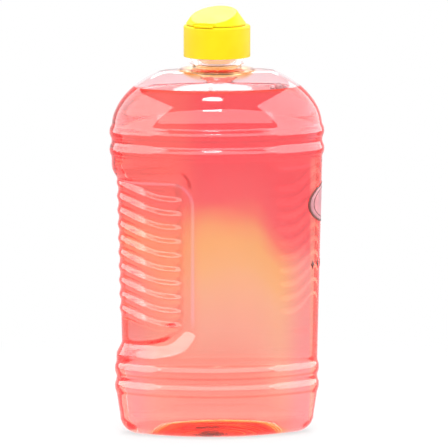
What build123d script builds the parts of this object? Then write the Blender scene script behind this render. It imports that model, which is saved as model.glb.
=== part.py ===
from build123d import *
import math
import os

# Frame: +Z up, origin under the middle of the base, +X towards the front end,
# -X towards the grip end. All sizes are in millimetres.

# Plan oval at the upper beads, drawn with four tangent arcs
HALF_LENGTH = 55.0
HALF_WIDTH = 30.5
END_RADIUS = 18.5
WALL = 0.8

# Heights of the body and of the shoulder above it
BODY_HEIGHT = 160.0
SHOULDER_HEIGHT = 27.6
PANEL_BOTTOM = 40.0

# How far each level of the wall lies inside the plan oval
PANEL_BOTTOM_INSET = 3.1
PANEL_TOP_INSET = 0.8
SHOULDER_INSET = 1.0
HEEL_INSET = 5.0

# Rounded heel, flat standing ring and pushed-up base
HEEL_RADIUS = 9.0
STANDING_RING = 3.8
PUSH_UP_HEIGHT = 8.0
GATE_RADIUS = 3.0
GATE_HEIGHT = 0.8

# Beads round the body, placed from the panel's bottom and from the shoulder
BEAD_HALF_HEIGHT = 3.4
BEAD_RISE = 0.9
LOWER_BEAD_DROPS = (15.6, 6.4)
UPPER_BEAD_DROPS = (12.8, 3.6)

# Domed shoulder: the part of the dome that the neck hides, and its fullness
SHOULDER_CROWN = 2.9
SHOULDER_CORE = 14.5
LENGTH_FULLNESS = 1.8
WIDTH_FULLNESS = 2.0
SHOULDER_LEVELS = 9

# Pinch grip round the back end
GRIP_LENGTH = 43.5
GRIP_TOP_DROP = 18.0
GRIP_SIDE_DEPTH = 5.0
GRIP_BACK_DEPTH = 3.0
GRIP_SLOPE = 2.0
GRIP_FLOOR_RISE = 7.0
GRIP_TOP_CORNER = 10.0
GRIP_LOW_CORNER_LENGTH = 34.5
GRIP_LOW_CORNER_HEIGHT = 19.0
GRIP_LOW_EDGE = 1.4

# Grip ribs
RIB_PITCH = 7.2
RIB_RADIUS = 2.6
RIB_RISE = 1.5
RIB_END_GAP = 6.0
RIB_MARGIN = 9.8

# Neck finish
NECK_RADIUS = 12.6
NECK_WALL = 1.8
ROOT_STEP = 4.6
RING_LEDGE = 2.2
RING_SINK = 0.1
RING_THICKNESS = 1.5
FINISH_HEIGHT = 19.2
COLLAR_STEP = 1.7
COLLAR_RISE = 2.2
COLLAR_HEIGHT = 3.6
THREAD_LEAD = 4.233
THREAD_TURNS = 1.5
THREAD_DEPTH = 1.1
THREAD_ROOT_WIDTH = 2.2
THREAD_CREST_WIDTH = 1.1
THREAD_RISE = 9.8
THREAD_SINK = 0.3

# Liquid, from the shoulder's top down to its level
LIQUID_DROP = 9.1
LIQUID_GAP = 0.05

# Sealing wad
WAD_GAP = 0.05
WAD_THICKNESS = 1.0
WAD_CLEARANCE = 0.65
WAD_HOLE_RADIUS = 3.0

# Cap
CAP_RISE = 5.9
CAP_WALL = 1.2
CAP_EDGE_RADIUS = 1.2
DECK_THICKNESS = 1.8
SLEEVE_WALL = 1.1
SLEEVE_GAP = 0.75
SLEEVE_CLEARANCE = 0.5
THREAD_CLEARANCE = 0.35
CREST_CLEARANCE = 0.45
CAP_THREAD_TURNS = 1.2
SPOUT_RADIUS = 4.0
SPOUT_HEIGHT = 2.8
SPOUT_HOLE_RADIUS = 1.8

# Flip lid, a tapered round wedge set towards its hinge, and the hinge
LID_INSET = 1.9
LID_SHIFT = 1.2
LID_TAPER = 6.9
LID_SKIRT = 0.8
LID_WALL = 1.2
LID_GAP = 0.3
LID_HINGE_HEIGHT = 1.8
LID_PEAK_HEIGHT = 10.6
LID_EDGE_RADIUS = 1.4
TAB_LENGTH = 1.6
TAB_WIDTH = 9.0
TAB_THICKNESS = 1.2
PIN_CLEARANCE = 0.35
PIN_DEPTH = 2.4
HINGE_INSET = 1.5
HINGE_TURN = 241.0
HINGE_WIDTH = 10.0
HINGE_RADIUS = 0.6
HINGE_GAP = 0.3
STRAP_LENGTH = 0.9

# Heights worked out from the sizes above
LOWER_BEADS = tuple(PANEL_BOTTOM - drop for drop in LOWER_BEAD_DROPS)
UPPER_BEADS = tuple(BODY_HEIGHT - drop for drop in UPPER_BEAD_DROPS)
PANEL_TOP = UPPER_BEADS[0] - BEAD_HALF_HEIGHT
SHOULDER_TOP = BODY_HEIGHT + SHOULDER_HEIGHT
GRIP_TOP = BODY_HEIGHT - GRIP_TOP_DROP
GRIP_FLOOR_TOP = GRIP_TOP - GRIP_SLOPE * GRIP_SIDE_DEPTH
GRIP_FLOOR_BOTTOM = PANEL_BOTTOM + GRIP_FLOOR_RISE
RIB_TOP = GRIP_FLOOR_TOP - RIB_MARGIN
RIB_COUNT = 1 + int((RIB_TOP - GRIP_FLOOR_BOTTOM - RIB_MARGIN) / RIB_PITCH)
RING_BOTTOM = SHOULDER_TOP - RING_SINK
RING_TOP = RING_BOTTOM + RING_THICKNESS
COLLAR_BOTTOM = RING_TOP + COLLAR_RISE
COLLAR_TOP = COLLAR_BOTTOM + COLLAR_HEIGHT
THREAD_START = RING_TOP + THREAD_RISE
NECK_TOP = RING_TOP + FINISH_HEIGHT
LIQUID_LEVEL = SHOULDER_TOP - LIQUID_DROP
CAP_BOTTOM = RING_TOP + CAP_RISE
SLEEVE_BOTTOM = COLLAR_TOP + SLEEVE_CLEARANCE
WAD_BOTTOM = NECK_TOP + WAD_GAP
DECK_BOTTOM = WAD_BOTTOM + WAD_THICKNESS + WAD_GAP
DECK_TOP = DECK_BOTTOM + DECK_THICKNESS
LID_BOTTOM = DECK_TOP + LID_GAP

# Radii and reaches worked out from the sizes above
GRIP_FRONT = GRIP_LENGTH - HALF_LENGTH
RIB_FRONT = GRIP_FRONT - RIB_END_GAP
NECK_BORE_RADIUS = NECK_RADIUS - NECK_WALL
NECK_ROOT_RADIUS = NECK_RADIUS + ROOT_STEP
RING_RADIUS = NECK_ROOT_RADIUS + RING_LEDGE
COLLAR_RADIUS = NECK_RADIUS + COLLAR_STEP
SLEEVE_RADIUS = NECK_RADIUS + THREAD_DEPTH + THREAD_CLEARANCE
CAP_THREAD_DEPTH = THREAD_DEPTH + THREAD_CLEARANCE - CREST_CLEARANCE
CAP_RADIUS = SLEEVE_RADIUS + SLEEVE_WALL + SLEEVE_GAP + CAP_WALL
WAD_RADIUS = SLEEVE_RADIUS - WAD_CLEARANCE
LID_RADIUS = CAP_RADIUS - LID_INSET
HINGE_OFFSET = CAP_RADIUS - HINGE_INSET
LID_BACK = HINGE_OFFSET - STRAP_LENGTH
LID_FRONT = LID_RADIUS - LID_SHIFT
PIN_RADIUS = SPOUT_HOLE_RADIUS - PIN_CLEARANCE

# Plan ovals: half length, half width and end radius
BODY_OVAL = (HALF_LENGTH, HALF_WIDTH, END_RADIUS)
GRIP_OVAL = (
    HALF_LENGTH - GRIP_BACK_DEPTH,
    HALF_WIDTH - GRIP_SIDE_DEPTH,
    END_RADIUS - GRIP_BACK_DEPTH,
)


def oval_arcs(half_length, half_width, end_radius):
    """Centre, radius, start and sweep of the four arcs, starting at the front end."""
    side_radius = (half_length**2 + half_width**2 - 2 * half_length * end_radius) / (
        2 * (half_width - end_radius)
    )
    end_x = half_length - end_radius
    side_y = side_radius - half_width
    turn = math.degrees(math.atan2(side_y, end_x))
    return (
        ((end_x, 0), end_radius, -turn, 2 * turn),
        ((0, -side_y), side_radius, turn, 180 - 2 * turn),
        ((-end_x, 0), end_radius, 180 - turn, 2 * turn),
        ((0, side_y), side_radius, 180 + turn, 180 - 2 * turn),
    )


def oval_face(half_length, half_width, end_radius, height):
    arcs = [CenterArc(*arc) for arc in oval_arcs(half_length, half_width, end_radius)]
    return Pos(0, 0, height) * make_face(arcs)


def swept_form(profile, oval):
    """Solid whose plan is the oval grown, at each height, by the profile's own offset."""
    faces = []
    for centre, radius, start, sweep_angle in oval_arcs(*oval):
        place = Location((*centre, 0), (0, 0, start)) * Pos(radius, 0, 0)
        axis = Axis((*centre, 0), (0, 0, 1))
        for edge in profile:
            faces.append(Face.revolve((place * edge).edge(), sweep_angle, axis))
    for point in (profile[0] @ 0, profile[-1] @ 1):
        grown = [size + point.X for size in oval]
        faces.append(oval_face(*grown, point.Z).face())
    return Solid(Shell(faces))


def line_xz(start, end):
    return Plane.XZ * Line(start, end)


def wall_offset(height):
    """Offset of the plain tapered wall at a height."""
    share = (height - PANEL_BOTTOM) / (PANEL_TOP - PANEL_BOTTOM)
    share = min(max(share, 0), 1)
    return share * (PANEL_BOTTOM_INSET - PANEL_TOP_INSET) - PANEL_BOTTOM_INSET


def bead_edges(start, heights, inset):
    """Wall from a start point up past some beads, each an arc that stands out of it."""
    edges = []
    for height in heights:
        offset = wall_offset(height) - inset
        foot = (offset, height - BEAD_HALF_HEIGHT)
        head = (offset, height + BEAD_HALF_HEIGHT)
        edges.append(line_xz(start, foot))
        edges.append(Plane.XZ * ThreePointArc(foot, (offset + BEAD_RISE, height), head))
        start = head
    return edges, start


def body_profile(inset):
    """Outline of the body wall from the standing ring up to the shoulder."""
    radius = HEEL_RADIUS - inset
    heel_top = (-HEEL_INSET - inset, HEEL_RADIUS)
    heel = RadiusArc((heel_top[0] - radius, inset), heel_top, -radius)
    lower, last = bead_edges(heel_top, LOWER_BEADS, inset)
    corner = (wall_offset(PANEL_BOTTOM) - inset, PANEL_BOTTOM)
    upper, head = bead_edges(corner, UPPER_BEADS, inset)
    top = (-SHOULDER_INSET - inset, BODY_HEIGHT)
    return [Plane.XZ * heel, *lower, line_xz(last, corner), *upper, line_xz(head, top)]


def shoulder(inset):
    """Dome lofted through ovals that shrink towards the neck."""
    length, width, radius = (size - SHOULDER_INSET for size in BODY_OVAL)
    sections = []
    for level in range(SHOULDER_LEVELS):
        rise = SHOULDER_HEIGHT * math.sin(math.pi / 2 * level / (SHOULDER_LEVELS - 1))
        share = rise / (SHOULDER_HEIGHT + SHOULDER_CROWN)
        long_share = (1 - share**LENGTH_FULLNESS) ** (1 / LENGTH_FULLNESS)
        wide_share = (1 - share**WIDTH_FULLNESS) ** (1 / WIDTH_FULLNESS)
        sections.append(
            oval_face(
                SHOULDER_CORE + (length - SHOULDER_CORE) * long_share - inset,
                width * wide_share - inset,
                radius * wide_share - inset,
                BODY_HEIGHT + rise * (1 - inset / SHOULDER_HEIGHT),
            )
        )
    return loft(sections)


def grip_region(inset):
    """Block that spans the bottle where the grip is, rounded at its two front corners."""
    front = GRIP_FRONT + inset
    back = -2 * HALF_LENGTH
    top = GRIP_TOP + inset
    bottom = PANEL_BOTTOM - GRIP_LOW_EDGE - inset
    corner_top = bottom + GRIP_LOW_CORNER_HEIGHT
    corner_back = front - GRIP_LOW_CORNER_LENGTH
    arc_start = (front, top - GRIP_TOP_CORNER)
    arc_end = (front - GRIP_TOP_CORNER, top)
    outline = [
        Line((back, bottom), (corner_back, bottom)),
        Spline((corner_back, bottom), (front, corner_top), tangents=((1, 0), (0, 1))),
        Line((front, corner_top), arc_start),
        RadiusArc(arc_start, arc_end, -GRIP_TOP_CORNER),
        Line(arc_end, (back, top)),
        Line((back, top), (back, bottom)),
    ]
    return extrude(Plane.XZ * make_face(outline), 2 * HALF_WIDTH, both=True)


def rib(height, inset):
    """Rounded bar along the grip floor, round the back from side to side."""
    radius = RIB_RADIUS - inset
    offset = wall_offset(height) + RIB_RISE - RIB_RADIUS
    arcs = oval_arcs(*(size + offset for size in GRIP_OVAL))
    (side_x, side_y), side_radius, _, _ = arcs[1]
    reach = math.degrees(math.acos((RIB_FRONT - side_x) / side_radius))
    back_start = arcs[2][2]
    path = [
        CenterArc((side_x, side_y), side_radius, reach, back_start - reach),
        CenterArc(*arcs[2]),
        CenterArc((side_x, -side_y), side_radius, arcs[3][2], back_start - reach),
    ]
    line = Pos(0, 0, height) * Wire(path)
    bar = sweep(Plane(line @ 0, z_dir=line % 0) * Circle(radius), path=line)
    return bar + Pos(line @ 0) * Sphere(radius) + Pos(line @ 1) * Sphere(radius)


def grip_core(inset):
    """What stays inside the grip: its floor, flared at top and bottom, and the ribs."""
    top = wall_offset(GRIP_FLOOR_TOP) - inset
    low = wall_offset(GRIP_FLOOR_BOTTOM) - inset
    flare = GRIP_SIDE_DEPTH + GRIP_BACK_DEPTH
    points = [
        (low + flare, GRIP_FLOOR_BOTTOM - GRIP_SLOPE * flare),
        (low, GRIP_FLOOR_BOTTOM),
        (top, GRIP_FLOOR_TOP),
        (top + flare, GRIP_FLOOR_TOP + GRIP_SLOPE * flare),
    ]
    core = swept_form([line_xz(*ends) for ends in zip(points, points[1:])], GRIP_OVAL)
    return core + [rib(RIB_TOP - number * RIB_PITCH, inset) for number in range(RIB_COUNT)]


def push_up(inset):
    """Dome pushed up into the base, inside the standing ring."""
    margin = HEEL_INSET + HEEL_RADIUS + STANDING_RING - inset
    sizes = (HALF_LENGTH - margin, HALF_WIDTH - margin, PUSH_UP_HEIGHT + inset)
    return scale(Sphere(1), by=sizes)


def bottle_form(inset):
    """Filled shape of body and shoulder, drawn in from the outside by an inset."""
    form = swept_form(body_profile(inset), BODY_OVAL) + shoulder(inset)
    form -= grip_region(inset) - grip_core(inset)
    return form - push_up(inset)


def revolved(points):
    return revolve(Plane.XZ * make_face(Polyline(*points, close=True)), Axis.Z)


def neck_outside():
    """Neck from inside the shoulder up to the rim, with ring and collar."""
    return revolved(
        [
            (0, BODY_HEIGHT),
            (NECK_BORE_RADIUS, BODY_HEIGHT),
            (NECK_ROOT_RADIUS, BODY_HEIGHT + ROOT_STEP),
            (NECK_ROOT_RADIUS, RING_BOTTOM),
            (RING_RADIUS, RING_BOTTOM + RING_THICKNESS / 3),
            (RING_RADIUS, RING_BOTTOM + RING_THICKNESS / 2),
            (NECK_RADIUS, RING_TOP),
            (NECK_RADIUS, COLLAR_BOTTOM),
            (COLLAR_RADIUS, COLLAR_BOTTOM),
            (COLLAR_RADIUS, COLLAR_TOP),
            (NECK_RADIUS, COLLAR_TOP),
            (NECK_RADIUS, NECK_TOP),
            (0, NECK_TOP),
        ]
    )


def neck_inside():
    """Bore of the neck, flared into the shoulder under the support ring."""
    root = NECK_ROOT_RADIUS - WALL
    return revolved(
        [
            (0, BODY_HEIGHT),
            (root, BODY_HEIGHT),
            (root, RING_BOTTOM - WALL),
            (NECK_BORE_RADIUS, RING_TOP),
            (NECK_BORE_RADIUS, NECK_TOP + WALL),
            (0, NECK_TOP + WALL),
        ]
    )


def thread(root_radius, depth, start, turns):
    """Screw ridge that stands out of, or with a negative depth into, a round wall."""
    root = root_radius - math.copysign(THREAD_SINK, depth)
    crest = root_radius + depth
    section = Polyline(
        (root, start - THREAD_ROOT_WIDTH / 2),
        (crest, start - THREAD_CREST_WIDTH / 2),
        (crest, start + THREAD_CREST_WIDTH / 2),
        (root, start + THREAD_ROOT_WIDTH / 2),
        close=True,
    )
    path = Helix(THREAD_LEAD, THREAD_LEAD * turns, root_radius, center=(0, 0, start))
    return sweep(Plane.XZ * make_face(section), path=path, is_frenet=True)


def bottle():
    """Blown shell with its neck finish and the gate mark under the base."""
    cavity = bottle_form(WALL)
    shell = bottle_form(0) - cavity
    gate = extrude(Circle(GATE_RADIUS), GATE_HEIGHT + WALL / 2)
    shell += Pos(0, 0, PUSH_UP_HEIGHT - GATE_HEIGHT) * gate
    shell += neck_outside() - cavity
    ridge = thread(NECK_RADIUS, THREAD_DEPTH, THREAD_START, THREAD_TURNS)
    return shell - neck_inside() + ridge


def cologne():
    """Liquid up to its level, a hair inside the wall."""
    above = Pos(0, 0, LIQUID_LEVEL) * Box(
        3 * HALF_LENGTH,
        3 * HALF_WIDTH,
        SHOULDER_HEIGHT,
        align=(Align.CENTER, Align.CENTER, Align.MIN),
    )
    return bottle_form(WALL + LIQUID_GAP) - above


def sealing_wad():
    disc = Circle(WAD_RADIUS) - Circle(WAD_HOLE_RADIUS)
    return Pos(0, 0, WAD_BOTTOM) * extrude(disc, WAD_THICKNESS)


def disc_between(radius, bottom, top):
    return Pos(0, 0, bottom) * extrude(Circle(radius), top - bottom)


def hinge_seat():
    """Notch in the cap's rim with room for the hinge knuckle."""
    reach = HINGE_RADIUS + HINGE_GAP
    notch = Box(
        2 * reach + HINGE_INSET,
        HINGE_WIDTH + 2 * HINGE_GAP,
        2 * reach,
        align=(Align.MIN, Align.CENTER, Align.CENTER),
    )
    return Rot(0, 0, HINGE_TURN) * Pos(HINGE_OFFSET - reach, 0, LID_BOTTOM) * notch


def cap_body():
    """Skirt, deck, threaded sleeve and pouring spout, with a seat for the hinge."""
    skirt = disc_between(CAP_RADIUS, CAP_BOTTOM, DECK_TOP)
    skirt = fillet(skirt.edges().group_by(Axis.Z)[-1], CAP_EDGE_RADIUS)
    cap = skirt - disc_between(CAP_RADIUS - CAP_WALL, CAP_BOTTOM, DECK_BOTTOM)
    cap += disc_between(SLEEVE_RADIUS + SLEEVE_WALL, SLEEVE_BOTTOM, DECK_BOTTOM)
    cap -= disc_between(SLEEVE_RADIUS, SLEEVE_BOTTOM, DECK_BOTTOM)
    start = THREAD_START - THREAD_LEAD / 2
    cap += thread(SLEEVE_RADIUS, -CAP_THREAD_DEPTH, start, CAP_THREAD_TURNS)
    cap += disc_between(SPOUT_RADIUS, DECK_TOP, DECK_TOP + SPOUT_HEIGHT)
    cap -= disc_between(SPOUT_HOLE_RADIUS, DECK_BOTTOM, DECK_TOP + SPOUT_HEIGHT)
    return cap - hinge_seat()


def lid_form(inset):
    """Tapered round wedge, low at the hinge, drawn in by an inset from its sides and top."""
    outline = Polyline(
        (inset - LID_FRONT, 0),
        (LID_BACK - inset, 0),
        (LID_BACK - inset, LID_HINGE_HEIGHT - inset),
        (inset - LID_FRONT, LID_PEAK_HEIGHT - inset),
        close=True,
    )
    wedge = extrude(Plane.XZ * make_face(outline), LID_RADIUS, both=True)
    reach = LID_RADIUS - inset
    cone = revolved(
        [
            (0, 0),
            (reach, 0),
            (reach, LID_SKIRT),
            (reach - LID_TAPER, LID_PEAK_HEIGHT),
            (0, LID_PEAK_HEIGHT),
        ]
    )
    return wedge & Pos(LID_SHIFT, 0, 0) * cone


def rounded_lid():
    """Lid wedge with the edge round its top rounded."""
    lid = lid_form(0)
    crown = lid.faces().sort_by(Axis.Z)[-1].edges()
    return fillet(crown.filter_by(lambda edge: edge.length > LID_RADIUS), LID_EDGE_RADIUS)


def lid_hinge():
    """Strap from the lid's wall to the round knuckle on the hinge line."""
    strap = Box(
        STRAP_LENGTH + LID_WALL,
        HINGE_WIDTH,
        HINGE_RADIUS,
        align=(Align.MAX, Align.CENTER, Align.MIN),
    )
    knuckle = Rot(90, 0, 0) * Cylinder(HINGE_RADIUS, HINGE_WIDTH)
    return Pos(HINGE_OFFSET, 0, 0) * (strap + knuckle)


def flip_lid():
    """Hollow lid with thumb tab, plug pin and hinge."""
    lid = rounded_lid() - lid_form(LID_WALL)
    tab = Box(
        TAB_LENGTH + LID_WALL,
        TAB_WIDTH,
        TAB_THICKNESS,
        align=(Align.MAX, Align.CENTER, Align.MIN),
    )
    lid += Pos(LID_WALL - LID_FRONT, 0, 0) * tab
    pin_bottom = SPOUT_HEIGHT - LID_GAP - PIN_DEPTH
    lid += disc_between(PIN_RADIUS, pin_bottom, LID_PEAK_HEIGHT) & lid_form(LID_WALL / 2)
    lid += lid_hinge()
    return Pos(0, 0, LID_BOTTOM) * Rot(0, 0, HINGE_TURN) * lid


def main():
    os.makedirs("parts", exist_ok=True)
    for make in (bottle, cologne, sealing_wad, cap_body, flip_lid):
        export_step(make(), f"parts/{make.__name__}.step")


main()
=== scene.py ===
import math

import bpy
import bmesh
import numpy as np
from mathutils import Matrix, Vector


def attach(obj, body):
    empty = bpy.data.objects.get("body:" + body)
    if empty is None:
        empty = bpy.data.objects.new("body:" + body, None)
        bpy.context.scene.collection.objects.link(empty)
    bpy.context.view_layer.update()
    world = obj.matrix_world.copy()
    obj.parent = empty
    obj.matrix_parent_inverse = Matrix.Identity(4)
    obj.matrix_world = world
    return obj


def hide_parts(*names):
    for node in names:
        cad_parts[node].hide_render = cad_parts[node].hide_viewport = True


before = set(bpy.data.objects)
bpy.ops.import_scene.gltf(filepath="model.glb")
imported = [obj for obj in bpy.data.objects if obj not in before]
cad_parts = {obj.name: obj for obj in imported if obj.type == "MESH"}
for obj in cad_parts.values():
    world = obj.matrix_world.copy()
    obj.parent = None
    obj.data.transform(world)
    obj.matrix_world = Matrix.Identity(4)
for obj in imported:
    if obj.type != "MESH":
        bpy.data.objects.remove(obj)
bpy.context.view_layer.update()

# Sizes of the bottle in millimetres, in the frame of the solids
HALF_LENGTH = 55.0
HALF_WIDTH = 30.5
END_RADIUS = 18.5
WALL = 0.8
BODY_HEIGHT = 160.0
TAPER_HEIGHTS = (40.0, 143.8)
TAPER_INSETS = (3.1, 0.8)
PROFILE_SOFT = 0.35
PROFILE_REACH = 1.2
PROFILE_SAMPLES = 13

# Shoulder: height of the dome, what is missing of its crown, and the half length that stays flat
SHOULDER_INSET = 1.0
SHOULDER_STEP = 0.2
SHOULDER_HEIGHT = 27.6
SHOULDER_CROWN = 2.9
SHOULDER_CORE = 14.5
SHOULDER_POWER = 1.8
SHOULDER_SOFT = 1.0

# Heel and base: the push-up is half an ellipsoid with a gate mark of two radii and a depth
HEEL_INSET = 5.0
HEEL_RADIUS = 9.0
HEEL_TOP = 21.0
HEEL_FIRST_TURN = 0.04
RING_SHARES = (0.35, 0.7)
PUSH_UP = (37.2, 12.7, 8.0)
GATE_MARK = (2.2, 3.5, 0.8)
GATE_RINGS = (0.5, 1.5, 2.3, 2.8, 3.1, 3.5, 4.4)

# Beads round the body: heights of their middles, half height and how far each stands out
BEADS = (24.4, 33.6, 147.2, 156.4)
BEAD_HALF_HEIGHT = 3.4
BEAD_RISES = (0.8, 0.8, 1.05, 1.05)

# Pinch grip: oval of its floor, outline from the side, and the width of its sloping wall low and high
GRIP_OVAL = (52.0, 26.8, 16.8)
GRIP_FRONT = -11.5
GRIP_TOP = 142.0
GRIP_CORNER = 10.0
GRIP_FLOOR = (47.0, 132.0)
GRIP_FLARE = 0.5
GRIP_LOW = (-46.0, 57.6, 34.5, 19.0)
GRIP_WALL = (6.0, 9.5)
GRIP_WALL_CHANGE = (42.0, 56.0)
GRIP_WALL_SOFT = 1.5
GRIP_FLOOR_SOFT = 0.7

# Ribs of the grip: their heights and, along the bottle, their front ends, and where they climb and fade
RIB_TOP = 122.2
RIB_PITCH = 7.2
RIB_COUNT = 10
RIB_FRONT = -25.5
RIB_FRONT_STRETCH = 0.55
RIB_RISE = 1.5
RIB_HALF_HEIGHT = 3.1
RIB_CLIMB = 0.2
RIB_CLIMB_FROM = -34.0
RIB_CLIMB_SOFT = 4.0
RIB_FADE = (-43.0, -49.0)
RIB_FADE_SHARE = 0.5

# Neck finish
NECK_RADIUS = 12.6
NECK_ROOT = 17.2
NECK_BORE = 10.8
FINISH_HEIGHTS = (196, 207.2)
FINISH_STEP = 0.45
THREAD_START = 198.8
THREAD_LEAD = 4.233
THREAD_TURNS = 1.5
THREAD_DEPTH = 1.1
THREAD_HALF_HEIGHT = 1.1
THREAD_FLANK = 0.55
THREAD_FADE = 0.25

# Liquid, and bubbles on it by their place along and across the bottle and their radius
LIQUID_LEVEL = 179.3
LIQUID_INSET = 0.4
LIQUID_TOP_SHARES = (0.992, 0.98, 0.96, 0.935, 0.9, 0.8, 0.65, 0.5, 0.35, 0.2, 0.08)
MENISCUS = 1.1
MENISCUS_WIDTH = 1.4
BUBBLES = (
    (27.4, -12.6, 1.2),
    (30.6, -11.4, 1.9),
    (33.8, -9.6, 1.3),
    (-4.6, -19.6, 1.5),
    (-1.4, -19.8, 1.0),
)
BUBBLE_TURN = (1.45, -0.9)
BUBBLE_HOLLOW = 0.84
BUBBLE_FLOAT = 0.4

# Print on the front end: half width, half height and middle of the badge, and a row of lozenges
BADGE = (17.2, 10.4, 119.6)
MARKS_HEIGHT = 88.0
MARKS_HALF_ROW = 12.5
MARK_COUNT = 6
MARK_HALF = (1.3, 2.2)
MARK_LIFT = 0.1
INK_FOOT = 0.02

# Columns and rows of the meshes; the body's spans give two heights and the rows between them
COLUMNS = 176
ANGLE_STEPS = 7200
EDGE_CROWDING = (1.5, -13.0, 5.0)
END_CROWDING = (0.5, 40.0)
BASE_ROWS = 10
HEEL_ROWS = 11
BODY_SPANS = ((10.5, 20.5, 6), (20.5, 38, 21), (38, 142.5, 110), (142.5, BODY_HEIGHT, 21))
DOME_ROWS = 160
ROOT_ROWS = 24
FINE_ROWS = 241
SHOULDER_ROWS = 36
LIQUID_SHOULDER_ROWS = 24
BUBBLE_COLUMNS = 24
BUBBLE_ROWS = 12
BADGE_COLUMNS = 96

# Looks of the clear plastic: stops of its streaks, and painted light by height and at the neck, in
# metres
PLASTIC_IOR = 1.5
STREAK_STOPS = ((0.3, (0.975, 0.98, 0.985)), (0.7, (0.998, 0.998, 1)))
# Painted light: a pink reflection of the liquid above its level, an orange glow at the neck's root,
# pink at the collar
ABOVE_LIQUID = (0.176, 0.18)
ABOVE_PAINTED_PINK = (0.99, 0.85, 0.87)
NECK_EDGE = (0.021, 0.0195)
NECK_HEIGHTS = (0.1835, 0.1865)
NECK_PAINTED_GLOW = (1, 0.64, 0.32)
COLLAR_HEIGHTS = (0.1907, 0.1912)
COLLAR_PAINTED_PINK = (0.985, 0.86, 0.85)

# Looks of the liquid: painted light as stops by the share of the height, which drifts and leans, and
# absorption
LIQUID_IOR = 1.36
LIQUID_RAMP = (0, 0.18)
LIQUID_DRIFT = (-0.007, 0.007)
LIQUID_LEAN = (0.016, 0.036, 0, 0.02)
LIQUID_ABSORBED = (0.988, 0.2, 0.154, 1)
LIQUID_DENSITY = 4
# Painted glow: the liquid is of one colour, and its orange middle and paler base stand for light
LIQUID_PAINTED_GLOW_STOPS = (
    (0.0, (1, 0.34, 0.27)),
    (0.17, (1, 0.31, 0.24)),
    (0.28, (1, 0.45, 0.32)),
    (0.42, (1, 0.52, 0.29)),
    (0.5, (1, 0.52, 0.19)),
    (0.57, (1, 0.47, 0.17)),
    (0.65, (1, 0.12, 0.13)),
    (0.8, (1, 0.075, 0.095)),
    (1.0, (1, 0.07, 0.085)),
)

# Painted light on the liquid's wall, standing for refracted light, in metres: what is measured along
# the bottle, where the painted colour begins and is full along it and up the bottle, its weight and its
# colour
WALL_PAINTED_LIGHT = (
    ("ends", (0.028, 0.042), (0.1, 0.085), 0.8, (1, 0.3, 0.32)),
    ("ends", (0.04, 0.052), (0.146, 0.156), 0.8, (1, 0.36, 0.42)),
    ("along", (-0.008, -0.018), (0.04, 0.06), 0.6, (1, 0.17, 0.12)),
    ("along", (0.0462, 0.0478), (0.146, 0.138), 0.9, (1, 0.48, 0.28)),
)

# Painted shade along the two lower beads, as dark lines: how far below a bead's middle they start, in
# millimetres, and from there in metres where each comes in and goes out, its weight and its colour
BEAD_SHADE_START = 3.2
BEAD_PAINTED_SHADE = (
    ((0, 0.001), (0.002, 0.0012), 0.8, (1, 0.1, 0.05)),
    ((0.0036, 0.0044), (0.0066, 0.0056), 0.5, (1, 0.2, 0.14)),
)

# Painted light and shade at the grip on the near side, in metres: middle of the rounded corner along
# and up the bottle, radii where the line comes in and goes out, its weight, where it begins by axis,
# and its colour
NEAR_SIDE = (0, -0.004)
GRIP_PAINTED_LIGHT_AND_SHADE = (
    # Painted highlight: a pale line round the grip's floor
    (
        (-0.0252, 0.1206), (0.0098, 0.0108), (0.0122, 0.0114), 0.85,
        {"Z": (0.055, 0.065)}, (1, 0.45, 0.55),
    ),
    # Painted shade: a dark curve at the grip's upper corner
    (
        (-0.0256, 0.1297), (0.0088, 0.0096), (0.0112, 0.0104), 0.95,
        {"X": (-0.023, -0.018), "Z": (0.129, 0.131)}, (0.7, 0, 0),
    ),
)

# Painted glow over the base on the near side, of half an ellipse, and painted shade at the rim of the
# liquid's top
BASE_HALVES = (0.036, 0.0105)
BASE_EDGE = (1.05, 0.95)
BASE_WEIGHT = 0.9
BASE_PAINTED_GLOW = (1, 0.27, 0.03)
RIM_HEIGHTS = (0.1777, 0.1781)
RIM_PAINTED_SHADE = (1, 0.09, 0.03)

# Range of the noise that roughness and drift are read from, and the colours of the other materials
NOISE_RANGE = (0.3, 0.7)
FILM_STOPS = ((0.35, (1, 0.58, 0.58)), (0.65, (1, 0.75, 0.75)))
YELLOW_STOPS = ((0.3, (0.98, 0.7, 0.003)), (0.7, (1, 0.75, 0.006)))
FOAM_STOPS = ((0, (0.9, 0.9, 0.88)), (1, (0.8, 0.8, 0.78)))
PINK_INK = (1, 0.5, 0.56)
BROWN_INK = (0.16, 0.02, 0.01)
INK_DARKER = 0.9

# Stage, in metres and watts: the floor glows fully from the end of its shadow on, and a lamp has its
# place, what it faces, its width, height and power
FLOOR_HALF = 3.0
FLOOR_GREY = 0.9
FLOOR_SHADOW = (0.06, 0.3, 0.7, 1.0)
WORLD_STRENGTH = 0.75
SOFTBOXES = (
    ("key_light", (-0.03, -0.7, 1.1), (0, 0, 0.15), 0.3, 0.16, 2.4),
    ("top_light", (0, -0.12, 0.85), (0, 0, 0.18), 0.6, 0.2, 2.8),
    ("back_light", (0.05, 0.95, 0.9), (0, 0, 0.2), 0.9, 0.4, 6),
)
REFLECTORS = (
    ("bead_card", (-0.052, -1.15, 0.85), (0, 0, 0.12), 0.32, 0.06, 1.5),
    ("front_card", (0, -1.25, 0.62), (0, 0, 0.13), 2.6, 0.62, 11),
    ("left_card", (-1.25, 0, 0.7), (0, 0, 0.25), 2.6, 1.4, 38),
    ("right_card", (1.25, 0, 0.7), (0, 0, 0.25), 2.6, 1.4, 38),
)
CAMERA_AZIMUTH = -4
CAMERA_ELEVATION = 8.2
CAMERA_DISTANCE = 3.3
CAMERA_SIDE_SHIFT = 0.0036
CAMERA_AIM_HEIGHT = 0.10796
PICTURE_PIXELS = 448
PIXEL_SIZE = 0.000514
SENSOR_WIDTH = 36
LIGHT_BOUNCES = 64


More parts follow.
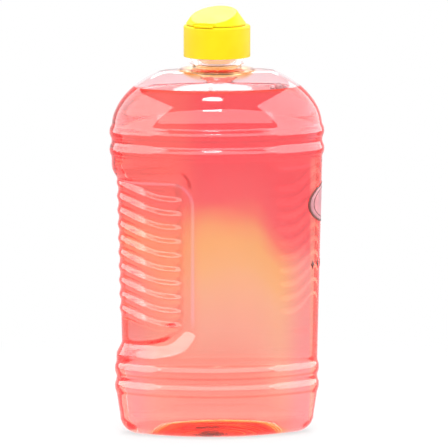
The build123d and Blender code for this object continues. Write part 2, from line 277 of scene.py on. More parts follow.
def smooth_step(low, high, value):
    """Nought to one between two limits, level at both."""
    share = np.clip((value - low) / (high - low), 0, 1)
    return share * share * (3 - 2 * share)


def soft_ramp(value, width, soft):
    """Straight rise from nought to one over a width, with both its corners rounded."""
    rise = [np.clip(part + soft, 0, 2 * soft) ** 2 / (4 * soft) + np.maximum(part - soft, 0)
            for part in (value, value - width)]
    return (rise[0] - rise[1]) / width


def smooth_min(first, second, soft):
    """The lesser of two values, rounded where they cross."""
    blend = np.clip(0.5 + 0.5 * (second - first) / soft, 0, 1)
    return second + (first - second) * blend - soft * blend * (1 - blend)


def oval_radius(phi, length, width, end):
    """Distance from the axis to an oval of four tangent arcs, in the direction phi."""
    side = (length**2 + width**2 - 2 * length * end) / (2 * (width - end))
    end_x = length - end
    side_y = side - width
    along = np.abs(np.cos(phi))
    across = np.abs(np.sin(phi))
    reach = np.hypot(end_x, side_y)
    on_end = across * side * end_x < along * (side * side_y - side_y * reach)
    end_hit = end_x * along + np.sqrt(np.maximum(end**2 - (end_x * across) ** 2, 0))
    side_hit = np.sqrt(side**2 - (side_y * along) ** 2) - side_y * across
    return np.where(on_end, end_hit, side_hit)


def offset_oval(phi, offset):
    """Distance from the axis to the bottle's plan oval, grown by an offset."""
    return oval_radius(phi, HALF_LENGTH + offset, HALF_WIDTH + offset, END_RADIUS + offset)


def column_angles():
    """Angles of the mesh columns, closer together at the ends and at the grip's edge."""
    phi = np.linspace(0, 2 * math.pi, ANGLE_STEPS + 1)
    radius = offset_oval(phi, 0)
    x = radius * np.cos(phi)
    y = radius * np.sin(phi)
    step = np.hypot(np.diff(x), np.diff(y))
    edge_weight, edge_x, edge_width = EDGE_CROWDING
    end_weight, end_x = END_CROWDING
    weight = 1 + edge_weight * np.exp(-(((x[1:] - edge_x) / edge_width) ** 2))
    weight = weight + end_weight * (np.abs(x[1:]) > end_x)
    run = np.concatenate([[0], np.cumsum(step * weight)])
    return np.interp(np.arange(COLUMNS) / COLUMNS * run[-1], run, phi)


def wall_offset(height):
    """Offset of the tapered wall between the beads from the plan oval."""
    return -np.interp(height, TAPER_HEIGHTS, TAPER_INSETS)


def plain_profile(height):
    """Offset of the body wall from the plan oval, with its beads."""
    low, high = TAPER_INSETS
    levels = (HEEL_RADIUS, HEEL_TOP, *TAPER_HEIGHTS, BODY_HEIGHT - SHOULDER_STEP, BODY_HEIGHT)
    offset = -np.interp(height, levels, (HEEL_INSET, low, low, high, high, SHOULDER_INSET))
    for bead, rise in zip(BEADS, BEAD_RISES):
        bow = (BEAD_HALF_HEIGHT**2 + rise**2) / (2 * rise)
        gap = np.minimum(np.abs(height - bead), BEAD_HALF_HEIGHT)
        offset = offset + np.sqrt(bow**2 - gap**2) - (bow - rise)
    return offset


def body_offset(height):
    """The wall's profile with its corners softened, as blowing leaves them."""
    shifts = np.linspace(-PROFILE_REACH, PROFILE_REACH, PROFILE_SAMPLES)
    weights = np.exp(-((shifts / PROFILE_SOFT) ** 2) / 2)
    levels = [plain_profile(np.clip(height + shift, HEEL_RADIUS, BODY_HEIGHT)) for shift in shifts]
    return np.tensordot(weights / weights.sum(), np.array(levels), axes=1)


def grip_depth(x, z):
    """Distance inside the outline of the grip, seen from the side."""
    depth = np.minimum(GRIP_FRONT - x, GRIP_TOP - z)
    corner_x = GRIP_FRONT - GRIP_CORNER
    corner_z = GRIP_TOP - GRIP_CORNER
    rounded = GRIP_CORNER - np.hypot(x - corner_x, z - corner_z)
    depth = np.where((x > corner_x) & (z > corner_z), rounded, depth)
    low_x, low_z, long_half, high_half = GRIP_LOW
    u = np.maximum(x - low_x, 0.01) / long_half
    v = np.maximum(low_z - z, 0.01) / high_half
    size = np.hypot(u, v)
    slope = np.hypot(u / long_half, v / high_half) / size
    at_low = (x > low_x) & (z < low_z)
    depth = np.where(at_low, np.minimum(depth, (1 - size) / slope), depth)
    return np.where((x <= low_x) & (z < low_z), np.minimum(depth, z - low_z + high_half), depth)


def rib_rise(x, z):
    """Height of the grip's ribs above its floor, which climb and fade round the bottle's end."""
    rise = np.zeros(np.broadcast(x, z).shape)
    beyond = RIB_CLIMB_FROM - x
    climb = RIB_CLIMB * (beyond + np.hypot(beyond, RIB_CLIMB_SOFT))
    past = RIB_FRONT_STRETCH * np.maximum(x - RIB_FRONT, 0)
    for number in range(RIB_COUNT):
        gap = np.hypot(z - climb - RIB_TOP + number * RIB_PITCH, past) / RIB_HALF_HEIGHT
        rise = np.maximum(rise, RIB_RISE * np.cos(np.minimum(gap, 1) * math.pi / 2) ** 2)
    return rise * (1 - RIB_FADE_SHARE * smooth_step(*RIB_FADE, x))


def body_radius(phi, z, inset):
    """Distance of the body wall from the axis, with the pinch grip and its ribs."""
    outer = offset_oval(phi, body_offset(z) - inset)
    x = outer * np.cos(phi)
    low, high = GRIP_FLOOR
    flare = GRIP_FLARE * (np.maximum(z - high, 0) + np.maximum(low - z, 0))
    sunk = wall_offset(z) + flare - inset
    ribbed = oval_radius(phi, *(size + sunk for size in GRIP_OVAL)) + rib_rise(x, z)
    low_width, high_width = GRIP_WALL
    width = low_width + (high_width - low_width) * smooth_step(*GRIP_WALL_CHANGE, z)
    recess = soft_ramp(grip_depth(x, z), width, GRIP_WALL_SOFT)
    return outer + (smooth_min(outer, ribbed, GRIP_FLOOR_SOFT) - outer) * recess


def base_rows(phi, inset):
    """Pushed-up base from its middle out to the standing ring, with the gate mark outside."""
    length, width, height = (size + inset for size in PUSH_UP)
    rim = 1 / np.hypot(np.cos(phi) / length, np.sin(phi) / width)
    rim = rim * math.sqrt(1 - (inset / height) ** 2)
    middle = np.array(GATE_RINGS)[:, None] * np.ones_like(phi)
    share = np.sin(np.linspace(0, math.pi / 2, BASE_ROWS + 1)[1:])[:, None]
    radius = np.concatenate([middle, GATE_RINGS[-1] + (rim - GATE_RINGS[-1]) * share])
    spread = (radius * np.cos(phi) / length) ** 2 + (radius * np.sin(phi) / width) ** 2
    rise = height * np.sqrt(np.maximum(1 - spread, 0))
    if inset == 0:
        inner, outer, drop = GATE_MARK
        rise = rise - drop * smooth_step(outer, inner, radius)
    return radius, rise


def heel_rows(phi, inset):
    """Flat standing ring and the rounded heel up to the wall."""
    base = base_rows(phi, inset)[0][-1]
    foot = -HEEL_INSET - HEEL_RADIUS
    flat = base + (offset_oval(phi, foot) - base) * np.array(RING_SHARES)[:, None]
    turn = np.linspace(HEEL_FIRST_TURN, math.pi / 2, HEEL_ROWS)[:, None]
    heel = offset_oval(phi, (HEEL_RADIUS - inset) * np.sin(turn) + foot)
    rise = HEEL_RADIUS - (HEEL_RADIUS - inset) * np.cos(turn)
    heights = [np.full((len(RING_SHARES), 1), inset), rise]
    return np.concatenate([flat, heel]), np.concatenate(heights) * np.ones_like(phi)


def body_rows(phi, inset):
    """Body wall from the heel up to the shoulder."""
    heights = [np.linspace(low, high, rows, endpoint=False) for low, high, rows in BODY_SPANS]
    z = np.concatenate(heights)[:, None] * np.ones_like(phi)
    return body_radius(phi, z, inset), z


def even_rows(radius, height, count, soft):
    """Each column's polyline with its corners softened, as evenly spaced rows."""
    rows = np.zeros((2, count, radius.shape[1]))
    for column in range(radius.shape[1]):
        line = np.array([radius[:, column], height[:, column]])
        run = np.concatenate([[0], np.cumsum(np.hypot(*np.diff(line)))])
        fine = np.linspace(0, run[-1], FINE_ROWS)
        line = np.array([np.interp(fine, run, part) for part in line])
        reach = max(int(3 * soft / fine[1]), 1)
        taper = np.exp(-((np.arange(-reach, reach + 1) * fine[1] / soft) ** 2) / 2)
        padded = np.pad(line, ((0, 0), (reach, reach)), mode="reflect", reflect_type="odd")
        line = np.array([np.convolve(part, taper / taper.sum(), "valid") for part in padded])
        even = np.linspace(0, run[-1], count)
        rows[:, :, column] = [np.interp(even, fine, part) for part in line]
    return rows


def shoulder_rows(phi, inset, top, root, count):
    """Dome over the body up to a height, run into the root of the neck where it has one."""
    rise = np.sin(np.linspace(0, math.pi / 2, DOME_ROWS)) * SHOULDER_HEIGHT
    shrink = 1 - inset / SHOULDER_HEIGHT
    below = rise * shrink < top - BODY_HEIGHT - 1e-6
    rise = np.append(rise[below], (top - BODY_HEIGHT) / shrink)[:, None]
    share = rise / (SHOULDER_HEIGHT + SHOULDER_CROWN)
    long_share = (1 - share**SHOULDER_POWER) ** (1 / SHOULDER_POWER)
    wide_share = np.sqrt(1 - share**2)
    length = SHOULDER_CORE + (HALF_LENGTH - SHOULDER_INSET - SHOULDER_CORE) * long_share - inset
    width = (HALF_WIDTH - SHOULDER_INSET) * wide_share - inset
    end = (END_RADIUS - SHOULDER_INSET) * wide_share - inset
    radius = np.maximum(oval_radius(phi, length, width, end), root)
    height = (BODY_HEIGHT + rise * shrink) * np.ones_like(phi)
    if root:
        inward = np.linspace(0, 1, ROOT_ROWS)[1:, None]
        radius = np.concatenate([radius, radius[-1] + (root - radius[-1]) * inward])
        height = np.concatenate([height, height[-1] * np.ones_like(inward)])
    return even_rows(radius, height, count, SHOULDER_SOFT)


def thread_rise(phi, z):
    """Height of the screw ridge above the neck, faded in and out at its ends."""
    rise = np.zeros(np.broadcast(phi, z).shape)
    for turn in range(math.ceil(THREAD_TURNS)):
        angle = phi + 2 * math.pi * turn
        gap = np.abs(z - THREAD_START - THREAD_LEAD * angle / (2 * math.pi))
        ends = np.minimum(angle, 2 * math.pi * THREAD_TURNS - angle)
        shape = np.clip((THREAD_HALF_HEIGHT - gap) / THREAD_FLANK, 0, 1)
        rise = np.maximum(rise, THREAD_DEPTH * shape * smooth_step(0, THREAD_FADE, ends))
    return rise


def neck_rows(phi):
    """Neck finish from the support ring over the rim and down the bore, as radius and height."""
    neck, bore = NECK_RADIUS, NECK_BORE
    profile = [(17.25, 187.66), (18.4, 187.72), (19.15, 187.88), (19.4, 188.12), (19.2, 188.36)]
    profile += [(17.5, 188.52), (15, 188.78), (13.2, 189.02), (12.7, 189.3), (neck, 189.8)]
    profile += [(neck, 190.8), (12.75, 191.05), (13.8, 191.22), (14.2, 191.5), (14.3, 192)]
    profile += [(14.3, 194), (14.2, 194.45), (13.8, 194.74), (12.8, 194.84), (neck, 195.1)]
    profile += [(neck, height) for height in np.arange(*FINISH_HEIGHTS, FINISH_STEP)]
    profile += [(neck, 207.4), (12.5, 207.9), (12.2, 208.2), (11.2, 208.2), (10.9, 207.95)]
    profile += [(bore, 207.4), (bore, 200), (bore, 193), (bore, 189.8), (11.1, 189.0)]
    radius, height = (np.array(part)[:, None] * np.ones_like(phi) for part in zip(*profile))
    outside = radius > neck - 0.01
    return radius + thread_rise(phi, height) * outside, height


def turned_faces(rows, columns, first=0):
    """Quads between rows round an axis, and a fan to a point at each end."""
    faces = []
    for row in range(rows - 1):
        low = first + row * columns
        for column in range(columns):
            after = (column + 1) % columns
            faces.append((low + column, low + after, low + columns + after, low + columns + column))
    start = first + rows * columns
    last = start - columns
    for column in range(columns):
        after = (column + 1) % columns
        faces.append((start, first + after, first + column))
        faces.append((start + 1, last + column, last + after))
    return faces


def turned_points(phi, radius, height):
    """Points of rows round the axis, and then the point at each end."""
    points = np.stack([radius * np.cos(phi), radius * np.sin(phi), height], axis=-1)
    ends = [(0, 0, height[0].mean()), (0, 0, height[-1].mean())]
    return np.concatenate([points.reshape(-1, 3), ends])


def mesh_piece(name, points, faces):
    """Smooth mesh of points in millimetres, as an object in metres."""
    mesh = bpy.data.meshes.new(name)
    mesh.from_pydata((np.array(points) / 1000).tolist(), [], faces)
    work = bmesh.new()
    work.from_mesh(mesh)
    bmesh.ops.recalc_face_normals(work, faces=work.faces)
    work.to_mesh(mesh)
    work.free()
    mesh.shade_smooth()
    return placed(name, mesh)


def placed(name, data):
    """New object in the scene that shows some data."""
    thing = bpy.data.objects.new(name, data)
    bpy.context.scene.collection.objects.link(thing)
    return thing


def turned_mesh(name, phi, radius, height):
    """Closed mesh of rows round the axis, with a point at each end."""
    return mesh_piece(name, turned_points(phi, radius, height), turned_faces(*radius.shape))


def stacked(*parts):
    """Radii and heights of several sets of rows, one after the other."""
    return [np.concatenate(rows) for rows in zip(*parts)]


def bottle_piece(phi):
    """Shell from the base up the outside, over the rim, and down the inside to the base."""
    shoulder_top = BODY_HEIGHT + SHOULDER_HEIGHT
    outside = stacked(
        base_rows(phi, 0),
        heel_rows(phi, 0),
        body_rows(phi, 0),
        shoulder_rows(phi, 0, shoulder_top, NECK_ROOT, SHOULDER_ROWS),
        neck_rows(phi),
    )
    inside = stacked(
        base_rows(phi, WALL),
        heel_rows(phi, WALL),
        body_rows(phi, WALL),
        shoulder_rows(phi, WALL, shoulder_top - WALL, NECK_ROOT - WALL, SHOULDER_ROWS),
    )
    inside = [rows[::-1] for rows in inside]
    return turned_mesh("bottle_shell", phi, *stacked(outside, inside))


def liquid_piece(phi):
    """Liquid that reaches half way into the wall, with a small meniscus at its rim."""
    sides = stacked(
        base_rows(phi, LIQUID_INSET),
        heel_rows(phi, LIQUID_INSET),
        body_rows(phi, LIQUID_INSET),
        shoulder_rows(phi, LIQUID_INSET, LIQUID_LEVEL, 0, LIQUID_SHOULDER_ROWS),
    )
    share = np.array(LIQUID_TOP_SHARES)[:, None]
    rim = sides[0][-1]
    drop = MENISCUS * (1 - np.exp(-(1 - share) * rim / MENISCUS_WIDTH))
    top = (rim * share, LIQUID_LEVEL - drop)
    return turned_mesh("liquid_fill", phi, *stacked(sides, top))


def bubbles_piece():
    """Small hollow bubbles that float on the liquid, against the wall."""
    phi = np.linspace(0, 2 * math.pi, BUBBLE_COLUMNS, endpoint=False)
    down = np.linspace(*BUBBLE_TURN, BUBBLE_ROWS)
    up = np.linspace(*BUBBLE_TURN[::-1], BUBBLE_ROWS)
    turn = np.concatenate([down, up])[:, None]
    share = np.repeat([BUBBLE_HOLLOW, 1], BUBBLE_ROWS)[:, None]
    points = []
    faces = []
    for x, y, size in BUBBLES:
        radius = size * share * np.cos(turn) * np.ones_like(phi)
        height = LIQUID_LEVEL + BUBBLE_FLOAT * size + size * share * np.sin(turn) * np.ones_like(phi)
        faces += turned_faces(*radius.shape, len(points))
        points += (turned_points(phi, radius, height) + (x, y, 0)).tolist()
    return mesh_piece("bubbles", points, faces)


def printed_point(along, height, lift):
    """Point on the front end of the wall, a distance round it from its middle."""
    offset = wall_offset(height)
    turn = along / (END_RADIUS + offset)
    reach = END_RADIUS + offset + lift
    x = HALF_LENGTH - END_RADIUS + reach * np.cos(turn)
    return np.stack([x, reach * np.sin(turn), height * np.ones_like(turn)], axis=-1)


def printed_oval(name, inner, outer, lift, rows):
    """Thin layer of ink between two sizes of the badge's oval."""
    half_width, half_height, middle = BADGE
    turn = np.linspace(0, 2 * math.pi, BADGE_COLUMNS, endpoint=False)
    share = np.linspace(inner, outer, rows)[:, None]
    size = np.concatenate([share, share[::-1]])
    lifts = np.concatenate([0 * share + lift, 0 * share + INK_FOOT])
    along = size * half_width * np.cos(turn)
    points = printed_point(along, middle + size * half_height * np.sin(turn), lifts)
    faces = []
    for row in range(2 * rows):
        low = row * BADGE_COLUMNS
        high = (row + 1) % (2 * rows) * BADGE_COLUMNS
        for column in range(BADGE_COLUMNS):
            after = (column + 1) % BADGE_COLUMNS
            faces.append((low + column, low + after, high + after, high + column))
    return mesh_piece(name, points.reshape(-1, 3), faces)


def printed_marks():
    """Row of small printed lozenges below the badge, each of four corners round a middle."""
    half_width, half_height = MARK_HALF
    points = []
    faces = []
    for middle in np.linspace(-MARKS_HALF_ROW, MARKS_HALF_ROW, MARK_COUNT):
        along = middle + np.array([-half_width, 0, half_width, 0, 0])
        height = MARKS_HEIGHT + np.array([0, half_height, 0, -half_height, 0])
        top = len(points)
        foot = top + len(along)
        for lift in (MARK_LIFT, INK_FOOT):
            points += printed_point(along, height, lift).tolist()
        for corner in range(4):
            after = (corner + 1) % 4
            faces.append((top + corner, top + after, top + 4))
            faces.append((foot + after, foot + corner, foot + 4))
            faces.append((top + corner, foot + corner, foot + after, top + after))
    return mesh_piece("print_marks", points, faces)


def new_material(name):
    """Material with its node tree and its shader."""
    material = bpy.data.materials.new(name)
    material.use_nodes = True
    return material, material.node_tree, material.node_tree.nodes["Principled BSDF"]


def object_point(tree):
    """Place on the piece, in metres in the frame of the solids."""
    return tree.nodes.new("ShaderNodeTexCoord").outputs["Object"]


def object_axes(tree):
    """The three coordinates of the place on the piece, by their names."""
    split = tree.nodes.new("ShaderNodeSeparateXYZ")
    tree.links.new(object_point(tree), split.inputs["Vector"])
    return split.outputs


def noise(tree, scale, detail, stretch=(1, 1, 1)):
    """Even noise on the piece, which may be stretched along an axis."""
    mapping = tree.nodes.new("ShaderNodeMapping")
    mapping.inputs["Scale"].default_value = stretch
    texture = tree.nodes.new("ShaderNodeTexNoise")
    texture.inputs["Scale"].default_value = scale
    texture.inputs["Detail"].default_value = detail
    tree.links.new(object_point(tree), mapping.inputs["Vector"])
    tree.links.new(mapping.outputs["Vector"], texture.inputs["Vector"])
    return texture.outputs["Fac"]


def colour_ramp(tree, value, stops):
    """Colour that goes from stop to stop as a value goes from nought to one."""
    ramp = tree.nodes.new("ShaderNodeValToRGB")
    elements = ramp.color_ramp.elements
    while len(elements) < len(stops):
        elements.new(0.5)
    for element, (place, colour) in zip(elements, stops):
        element.position = place
        element.color = (*colour, 1)
    tree.links.new(value, ramp.inputs["Fac"])
    return ramp.outputs["Color"]


def ranged(tree, value, low, high, to_low=0.0, to_high=1.0, smooth=True):
    """One range of values carried over to another, and level outside it."""
    node = tree.nodes.new("ShaderNodeMapRange")
    if smooth:
        node.interpolation_type = "SMOOTHSTEP"
    limits = {"From Min": low, "From Max": high, "To Min": to_low, "To Max": to_high}
    for name, number in limits.items():
        node.inputs[name].default_value = number
    tree.links.new(value, node.inputs["Value"])
    return node.outputs["Result"]


def combined(tree, operation, *values):
    """Values put together by a sum, product or the like, each a link or a number."""
    node = tree.nodes.new("ShaderNodeMath")
    node.operation = operation
    for socket, value in zip(node.inputs, values):
        if isinstance(value, bpy.types.NodeSocket):
            tree.links.new(value, socket)
        else:
            socket.default_value = value
    return node.outputs["Value"]


def product(tree, first, *others):
    """Product of two or more values."""
    for other in others:
        first = combined(tree, "MULTIPLY", first, other)
    return first


def band(tree, value, rise, fall, weight):
    """Weight that comes in over one stretch of a value and goes out over another."""
    return product(tree, ranged(tree, value, *rise), ranged(tree, value, *fall, 0, weight))


def distance(tree, axes, parts, outward=False):
    """Distance from a point in some of the axes, each shifted and then scaled."""
    place = tree.nodes.new("ShaderNodeCombineXYZ")
    for axis, (shift, scale) in parts.items():
        value = combined(tree, "MULTIPLY_ADD", axes[axis], scale, shift * scale)
        if outward:
            value = combined(tree, "MAXIMUM", value, 0)
        tree.links.new(value, place.inputs[axis])
    return vector_length(tree, place.outputs["Vector"])


def vector_length(tree, vector):
    """Length of a vector."""
    node = tree.nodes.new("ShaderNodeVectorMath")
    node.operation = "LENGTH"
    tree.links.new(vector, node.inputs[0])
    return node.outputs["Value"]


def mixed_colour(tree, share, first, second):
    """Colour that goes over to a second one as the share goes to one."""
    node = tree.nodes.new("ShaderNodeMix")
    node.data_type = "RGBA"
    tree.links.new(share, node.inputs[0])
    tree.links.new(first, node.inputs[6])
    node.inputs[7].default_value = (*second, 1)
    return node.outputs[2]


def mixed_shader(tree, share, first, second, output):
    """Shader that goes over to a second one as the share goes to one, as a tree's surface."""
    mix = tree.nodes.new("ShaderNodeMixShader")
    tree.links.new(share, mix.inputs["Fac"])
    tree.links.new(first, mix.inputs[1])
    tree.links.new(second, mix.inputs[2])
    tree.links.new(mix.outputs["Shader"], tree.nodes[output].inputs["Surface"])


def bump(tree, value, shader, strength, depth):
    """Fine relief on a shader's surface."""
    node = tree.nodes.new("ShaderNodeBump")
    node.inputs["Strength"].default_value = strength
    node.inputs["Distance"].default_value = depth
    tree.links.new(value, node.inputs["Height"])
    tree.links.new(node.outputs["Normal"], shader.inputs["Normal"])


def clear_plastic():
    """Clear blown plastic with faint flow streaks, and painted light of the liquid above its level and
    at the neck.
    """
    material, tree, shader = new_material("clear_plastic_look")
    streaks = noise(tree, scale=60, detail=3, stretch=(1, 1, 0.25))
    colour = colour_ramp(tree, streaks, STREAK_STOPS)
    axes = object_axes(tree)
    above = ranged(tree, axes["Z"], *ABOVE_LIQUID)
    inner = ranged(tree, distance(tree, axes, {"X": (0, 1), "Y": (0, 1)}), *NECK_EDGE)
    neck = product(tree, inner, ranged(tree, axes["Z"], *NECK_HEIGHTS))
    collar = ranged(tree, axes["Z"], *COLLAR_HEIGHTS)
    # Painted pink reflection above the liquid, painted orange glow at the neck's root and painted pink
    # at the collar
    for share, tint in ((above, ABOVE_PAINTED_PINK), (neck, NECK_PAINTED_GLOW), (collar, COLLAR_PAINTED_PINK)):
        colour = mixed_colour(tree, share, colour, tint)
    tree.links.new(colour, shader.inputs["Base Color"])
    roughness = ranged(tree, streaks, *NOISE_RANGE, 0.0, 0.03, smooth=False)
    tree.links.new(roughness, shader.inputs["Roughness"])
    shader.inputs["Transmission Weight"].default_value = 1
    shader.inputs["IOR"].default_value = PLASTIC_IOR
    return material


def wall_painted_light(tree, axes):
    """Painted light for refraction: paler ends, a redder grip and an orange strip up the front end."""
    measured = {"along": axes["X"], "ends": combined(tree, "ABSOLUTE", axes["X"])}
    painted_colours = []
    for name, along, up, weight, tint in WALL_PAINTED_LIGHT:
        share = ranged(tree, measured[name], *along, 0, weight)
        painted_colours.append((product(tree, share, ranged(tree, axes["Z"], *up)), tint))
    return painted_colours


def bead_painted_shade(tree, height):
    """Painted shade: darker lines along the foot and the upper side of each of the two lower beads."""
    painted_colours = []
    for middle in BEADS[:2]:
        start = (middle - BEAD_SHADE_START) / 1000
        for rise, fall, weight, tint in BEAD_PAINTED_SHADE:
            rise, fall = ([start + part for part in stretch] for stretch in (rise, fall))
            painted_colours.append((band(tree, height, rise, fall, weight), tint))
    return painted_colours


def grip_painted_light_and_shade(tree, axes):
    """Painted highlight as a pale line round the grip's floor, and painted shade as a dark curve at its
    upper corner.
    """
    near = ranged(tree, axes["Y"], *NEAR_SIDE, smooth=False)
    painted_colours = []
    for (x, z), rise, fall, weight, limits, tint in GRIP_PAINTED_LIGHT_AND_SHADE:
        edge = distance(tree, axes, {"X": (-x, 1), "Z": (-z, 1)}, outward=True)
        within = [ranged(tree, axes[axis], *limit) for axis, limit in limits.items()]
        painted_colours.append((product(tree, band(tree, edge, rise, fall, weight), near, *within), tint))
    return painted_colours


def base_painted_glow(tree, axes):
    """Painted orange glow over the pushed-up base."""
    half_length, height = BASE_HALVES
    middle = distance(tree, axes, {"X": (0, 1 / half_length), "Z": (0, 1 / height)})
    near = ranged(tree, axes["Y"], *NEAR_SIDE, 0, BASE_WEIGHT, smooth=False)
    return product(tree, ranged(tree, middle, *BASE_EDGE, smooth=False), near), BASE_PAINTED_GLOW


def liquid_painted_light(tree, axes):
    """Painted light and shade where the liquid's colour differs, as a share and a colour each."""
    return [
        *wall_painted_light(tree, axes),
        *bead_painted_shade(tree, axes["Z"]),
        base_painted_glow(tree, axes),
        *grip_painted_light_and_shade(tree, axes),
        # Painted dark shade at the rim of the liquid's top
        (ranged(tree, axes["Z"], *RIM_HEIGHTS), RIM_PAINTED_SHADE),
    ]


def liquid():
    """Pink-red liquid with painted light: an orange glow in the middle of its height and paler towards
    the base.
    """
    material, tree, shader = new_material("liquid_look")
    axes = object_axes(tree)
    drift = ranged(tree, noise(tree, scale=22, detail=1.5), *NOISE_RANGE, *LIQUID_DRIFT, smooth=False)
    lean = ranged(tree, axes["X"], *LIQUID_LEAN)
    height = combined(tree, "ADD", combined(tree, "ADD", axes["Z"], drift), lean)
    # Colour by height is painted glow, orange in the middle and paler towards the base
    colour = colour_ramp(tree, ranged(tree, height, *LIQUID_RAMP, smooth=False), LIQUID_PAINTED_GLOW_STOPS)
    for share, tint in liquid_painted_light(tree, axes):
        colour = mixed_colour(tree, share, colour, tint)
    tree.links.new(colour, shader.inputs["Base Color"])
    shader.inputs["Roughness"].default_value = 0
    shader.inputs["Transmission Weight"].default_value = 1
    shader.inputs["IOR"].default_value = LIQUID_IOR
    depth = tree.nodes.new("ShaderNodeVolumeAbsorption")
    depth.inputs["Color"].default_value = LIQUID_ABSORBED
    depth.inputs["Density"].default_value = LIQUID_DENSITY
    tree.links.new(depth.outputs["Volume"], tree.nodes["Material Output"].inputs["Volume"])
    return material


def film():
    """Thin film of the liquid round a bubble."""
    material, tree, shader = new_material("film_look")
    tint = colour_ramp(tree, noise(tree, scale=500, detail=2), FILM_STOPS)
    tree.links.new(tint, shader.inputs["Base Color"])
    shader.inputs["Roughness"].default_value = 0.1
    shader.inputs["Transmission Weight"].default_value = 0.5
    shader.inputs["IOR"].default_value = LIQUID_IOR
    return material


def yellow_plastic():
    """Satin moulded plastic with a fine grain."""
    material, tree, shader = new_material("yellow_plastic_look")
    cloud = noise(tree, scale=90, detail=4)
    tree.links.new(colour_ramp(tree, cloud, YELLOW_STOPS), shader.inputs["Base Color"])
    roughness = ranged(tree, cloud, *NOISE_RANGE, 0.3, 0.4, smooth=False)
    tree.links.new(roughness, shader.inputs["Roughness"])
    shader.inputs["Specular IOR Level"].default_value = 0.12
    bump(tree, noise(tree, scale=2500, detail=2), shader, strength=0.08, depth=0.0002)
    return material


def ink(name, colour, through):
    """Printing ink, a little uneven in its tone, which may let some light through."""
    material, tree, shader = new_material(name)
    darker = tuple(INK_DARKER * part for part in colour)
    tint = colour_ramp(tree, noise(tree, scale=350, detail=3), ((0.35, darker), (0.65, colour)))
    tree.links.new(tint, shader.inputs["Base Color"])
    shader.inputs["Roughness"].default_value = 0.4
    shader.inputs["Transmission Weight"].default_value = through
    return material


def foam():
    """White foam sheet with small closed cells."""
    material, tree, shader = new_material("foam_look")
    cells = tree.nodes.new("ShaderNodeTexVoronoi")
    cells.inputs["Scale"].default_value = 2200
    tree.links.new(object_point(tree), cells.inputs["Vector"])
    tint = colour_ramp(tree, cells.outputs["Distance"], FOAM_STOPS)
    tree.links.new(tint, shader.inputs["Base Color"])
    shader.inputs["Roughness"].default_value = 0.8
    bump(tree, cells.outputs["Distance"], shader, strength=0.3, depth=0.0002)
    return material


def seen_directly(tree):
    """One for rays from the camera, from a mirror and through glass."""
    path = tree.nodes.new("ShaderNodeLightPath")
    seen = path.outputs["Is Camera Ray"]
    for name in ("Is Glossy Ray", "Is Transmission Ray"):
        seen = combined(tree, "MAXIMUM", seen, path.outputs[name])
    return seen


def white_world():
    """White surroundings that show at full strength and light the object with less."""
    world = bpy.data.worlds.new("studio")
    bpy.context.scene.world = world
    world.use_nodes = True
    tree = world.node_tree
    plain = tree.nodes["Background"]
    shown = tree.nodes.new("ShaderNodeBackground")
    for node, strength in ((plain, WORLD_STRENGTH), (shown, 1)):
        node.inputs["Color"].default_value = (1, 1, 1, 1)
        node.inputs["Strength"].default_value = strength
    surfaces = (plain.outputs["Background"], shown.outputs["Background"])
    mixed_shader(tree, seen_directly(tree), *surfaces, "World Output")


def floor():
    """White table top that shows white and still takes a soft shadow near the bottle."""
    corners = ((-1, -1, 0), (1, -1, 0), (1, 1, 0), (-1, 1, 0))
    mesh = bpy.data.meshes.new("floor")
    mesh.from_pydata([[FLOOR_HALF * part for part in corner] for corner in corners], [], [(0, 1, 2, 3)])
    piece = placed("floor", mesh)
    material, tree, shader = new_material("floor_look")
    shader.inputs["Base Color"].default_value = (FLOOR_GREY, FLOOR_GREY, FLOOR_GREY, 1)
    shader.inputs["Roughness"].default_value = 0.9
    glow = tree.nodes.new("ShaderNodeEmission")
    glow.inputs["Strength"].default_value = 1
    plain = ranged(tree, vector_length(tree, object_point(tree)), *FLOOR_SHADOW)
    surfaces = (shader.outputs["BSDF"], glow.outputs["Emission"])
    mixed_shader(tree, product(tree, seen_directly(tree), plain), *surfaces, "Material Output")
    mesh.materials.append(material)


def aim(thing, place, target):
    """Put a lamp or camera at a place and face it towards a target."""
    thing.location = place
    thing.rotation_euler = (Vector(target) - Vector(place)).to_track_quat("-Z", "Y").to_euler()


def softbox(name, place, target, width, height, power):
    """Soft lamp with an oval face."""
    lamp = bpy.data.lights.new(name, "AREA")
    lamp.shape = "ELLIPSE"
    lamp.size = width
    lamp.size_y = height
    lamp.energy = power
    thing = placed(name, lamp)
    aim(thing, place, target)
    return thing


def reflector(name, place, target, width, height, power):
    """Bright card that shows in reflections and lights nothing that is matt."""
    thing = softbox(name, place, target, width, height, power)
    thing.data.shape = "RECTANGLE"
    thing.visible_diffuse = False


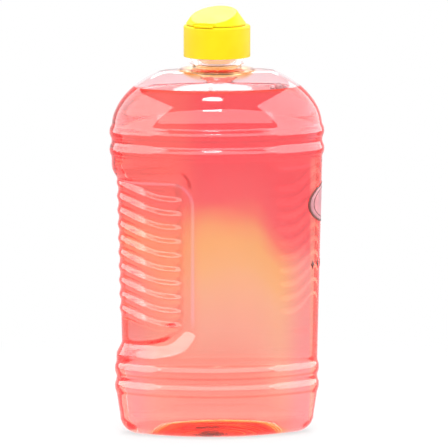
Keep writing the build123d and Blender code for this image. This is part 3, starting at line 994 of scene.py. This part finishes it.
def photo_camera():
    """Long lens, a little above the bottle and a little towards its grip end."""
    azimuth = math.radians(CAMERA_AZIMUTH)
    elevation = math.radians(CAMERA_ELEVATION)
    side = (math.cos(azimuth), math.sin(azimuth))
    target = (side[0] * CAMERA_SIDE_SHIFT, side[1] * CAMERA_SIDE_SHIFT, CAMERA_AIM_HEIGHT)
    place = (
        target[0] + CAMERA_DISTANCE * math.cos(elevation) * math.sin(azimuth),
        target[1] - CAMERA_DISTANCE * math.cos(elevation) * math.cos(azimuth),
        target[2] + CAMERA_DISTANCE * math.sin(elevation),
    )
    lens = bpy.data.cameras.new("photo_camera")
    lens.sensor_width = SENSOR_WIDTH
    lens.lens = SENSOR_WIDTH * CAMERA_DISTANCE / (PICTURE_PIXELS * PIXEL_SIZE)
    lens.clip_start = 0.05
    lens.clip_end = 50
    thing = placed("photo_camera", lens)
    aim(thing, place, target)
    bpy.context.scene.camera = thing


def give(piece, material):
    """Make a material the only one of a piece."""
    piece.data.materials.clear()
    piece.data.materials.append(material)


def main():
    scene = bpy.context.scene
    scene.view_settings.view_transform = "Standard"
    scene.cycles.max_bounces = LIGHT_BOUNCES
    scene.cycles.transmission_bounces = LIGHT_BOUNCES
    scene.cycles.glossy_bounces = LIGHT_BOUNCES
    phi = column_angles()
    shell = bottle_piece(phi)
    give(shell, clear_plastic())
    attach(shell, "bottle")
    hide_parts("bottle")
    fill = liquid_piece(phi)
    give(fill, liquid())
    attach(fill, "bottle")
    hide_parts("cologne")
    bubbles = bubbles_piece()
    give(bubbles, film())
    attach(bubbles, "bottle")
    pink = ink("pink_ink_look", PINK_INK, through=0.5)
    brown = ink("brown_ink_look", BROWN_INK, through=0.0)
    prints = [
        (printed_oval("print_badge", inner=0.02, outer=0.91, lift=0.08, rows=8), pink),
        (printed_oval("print_border", inner=0.91, outer=1.0, lift=0.14, rows=4), brown),
        (printed_oval("print_line", inner=0.74, outer=0.77, lift=0.12, rows=4), brown),
        (printed_marks(), brown),
    ]
    for piece, look in prints:
        give(piece, look)
        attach(piece, "bottle")
    yellow = yellow_plastic()
    give(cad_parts["cap_body"], yellow)
    give(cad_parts["flip_lid"], yellow)
    give(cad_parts["sealing_wad"], foam())
    floor()
    white_world()
    for lamp in SOFTBOXES:
        softbox(*lamp)
    for card in REFLECTORS:
        reflector(*card)
    photo_camera()


main()
